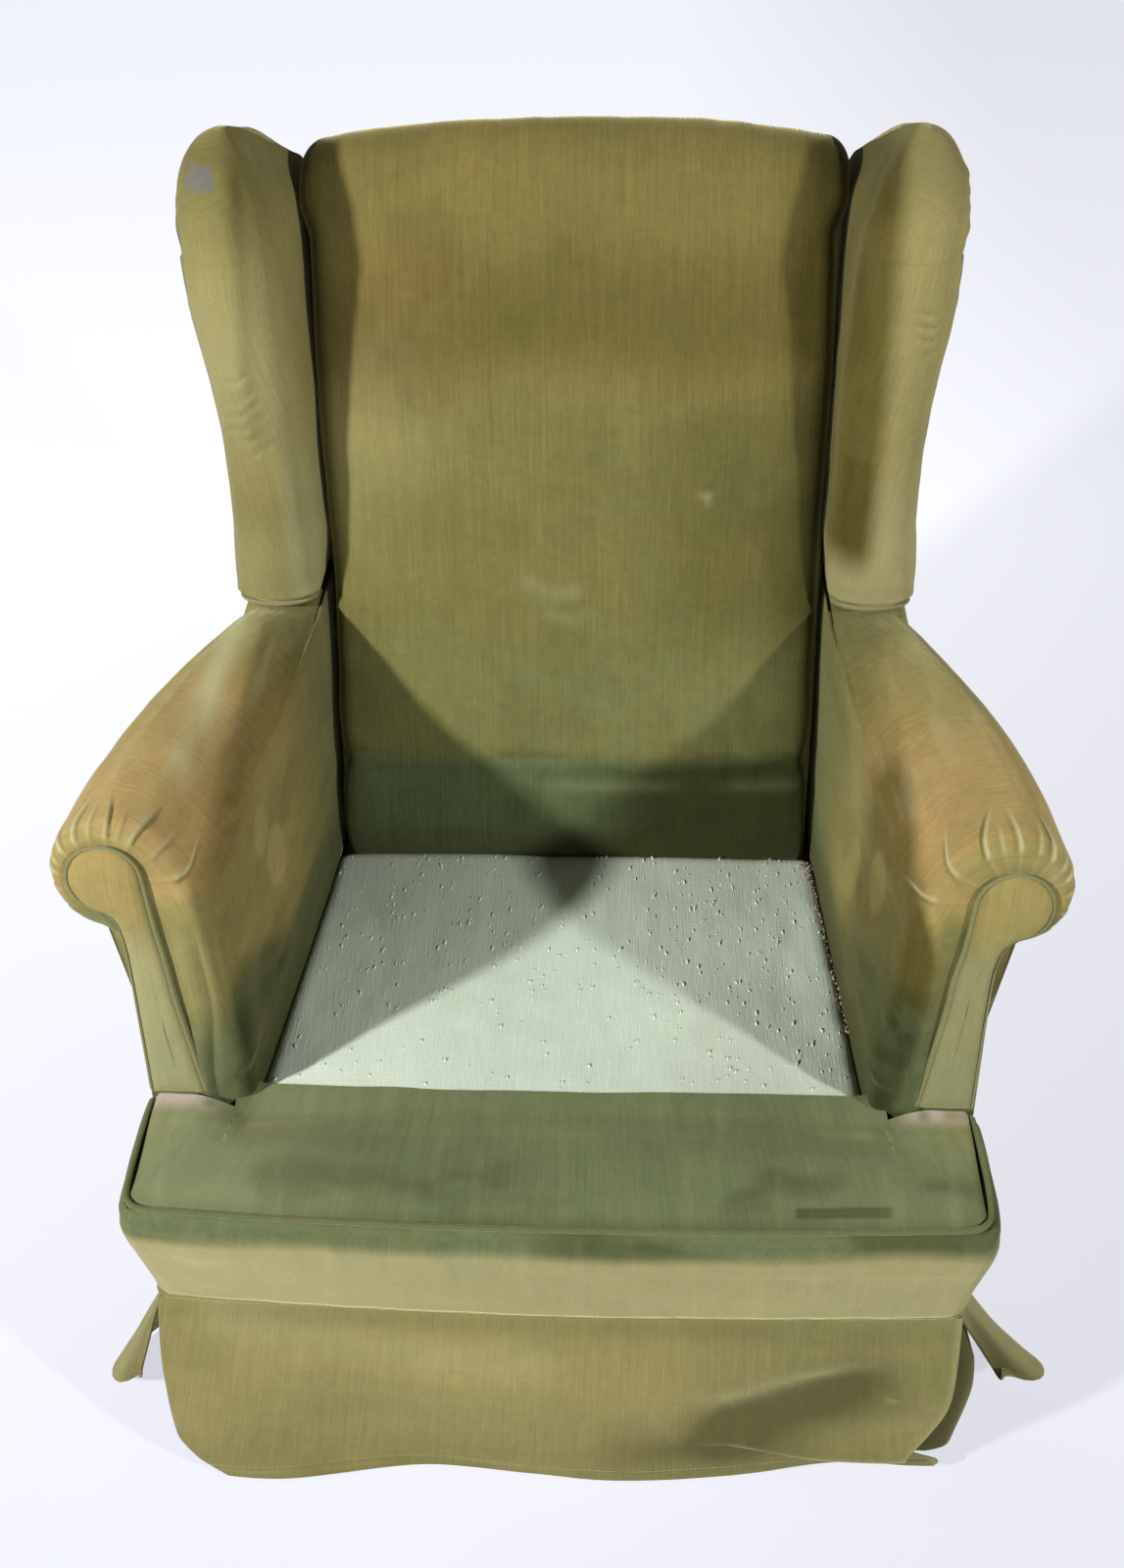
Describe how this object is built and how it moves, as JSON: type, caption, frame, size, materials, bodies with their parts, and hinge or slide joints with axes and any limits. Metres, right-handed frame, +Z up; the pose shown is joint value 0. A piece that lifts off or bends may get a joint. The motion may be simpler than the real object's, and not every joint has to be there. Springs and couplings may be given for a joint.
{
  "type": "wing armchair",
  "caption": "Sagging old wing armchair with rolled arms, a bowed front lip and a floor-length skirt; its loose seat cushion is missing and the pale platform cloth shows.",
  "frame": {"origin": "on the floor, under the middle of the chair", "axes": "+Z up, -Y is the way the chair faces, +X is to the right of someone looking at its front"},
  "size_m": [0.8994, 0.8062, 1.028],
  "materials": {
    "beech": "unfinished, dusty",
    "webbing": "woven strap",
    "hessian": "coarse open weave",
    "dust_cloth": "thin black cloth",
    "platform_cloth": "fine plain weave, pilled",
    "velour": "worn ribbed pile, faded to tan on the arms",
    "velour_green": "ribbed pile, little faded",
    "piping": "velour-covered cord, rubbed"
  },
  "bodies": {
    "root": {"arm_facing_left": "velour", "arm_facing_right": "velour", "arm_rail_left": "beech", "arm_rail_right": "beech", "arm_stump_left": "beech", "arm_stump_right": "beech", "back_hessian": "hessian", "back_post_left": "beech", "back_post_right": "beech", "corner_block_front_left": "beech", "corner_block_front_right": "beech", "corner_block_rear_left": "beech", "corner_block_rear_right": "beech", "dust_cloth": "dust_cloth", "facing_piping_left": "piping", "facing_piping_right": "piping", "front_border": "velour", "front_leg_left": "beech", "front_leg_right": "beech", "front_lip": "velour_green", "front_rail": "beech", "inside_arm_left": "velour", "inside_arm_right": "velour", "inside_back": "velour", "inside_wing_left": "velour", "inside_wing_right": "velour", "lip_piping": "piping", "lower_arm_rail_left": "beech", "lower_arm_rail_right": "beech", "lower_back_rail": "beech", "outside_arm_left": "velour", "outside_arm_right": "velour", "outside_back": "velour", "outside_wing_left": "velour", "outside_wing_right": "velour", "pleat_insert_front_left": "velour_green", "pleat_insert_front_right": "velour_green", "pleat_insert_rear_left": "velour_green", "pleat_insert_rear_right": "velour_green", "rear_rail": "beech", "seat_hessian": "hessian", "seat_platform": "platform_cloth", "seat_strap_1": "webbing", "seat_strap_2": "webbing", "seat_strap_3": "webbing", "seat_strap_4": "webbing", "side_rail_left": "beech", "side_rail_right": "beech", "skirt_back": "velour", "skirt_front": "velour", "skirt_left": "velour", "skirt_piping": "piping", "skirt_right": "velour", "top_back_rail": "beech", "wing_piping_left": "piping", "wing_piping_right": "piping", "wing_post_left": "beech", "wing_post_right": "beech", "wing_rail_left": "beech", "wing_rail_right": "beech"}
  },
  "joints": []
}
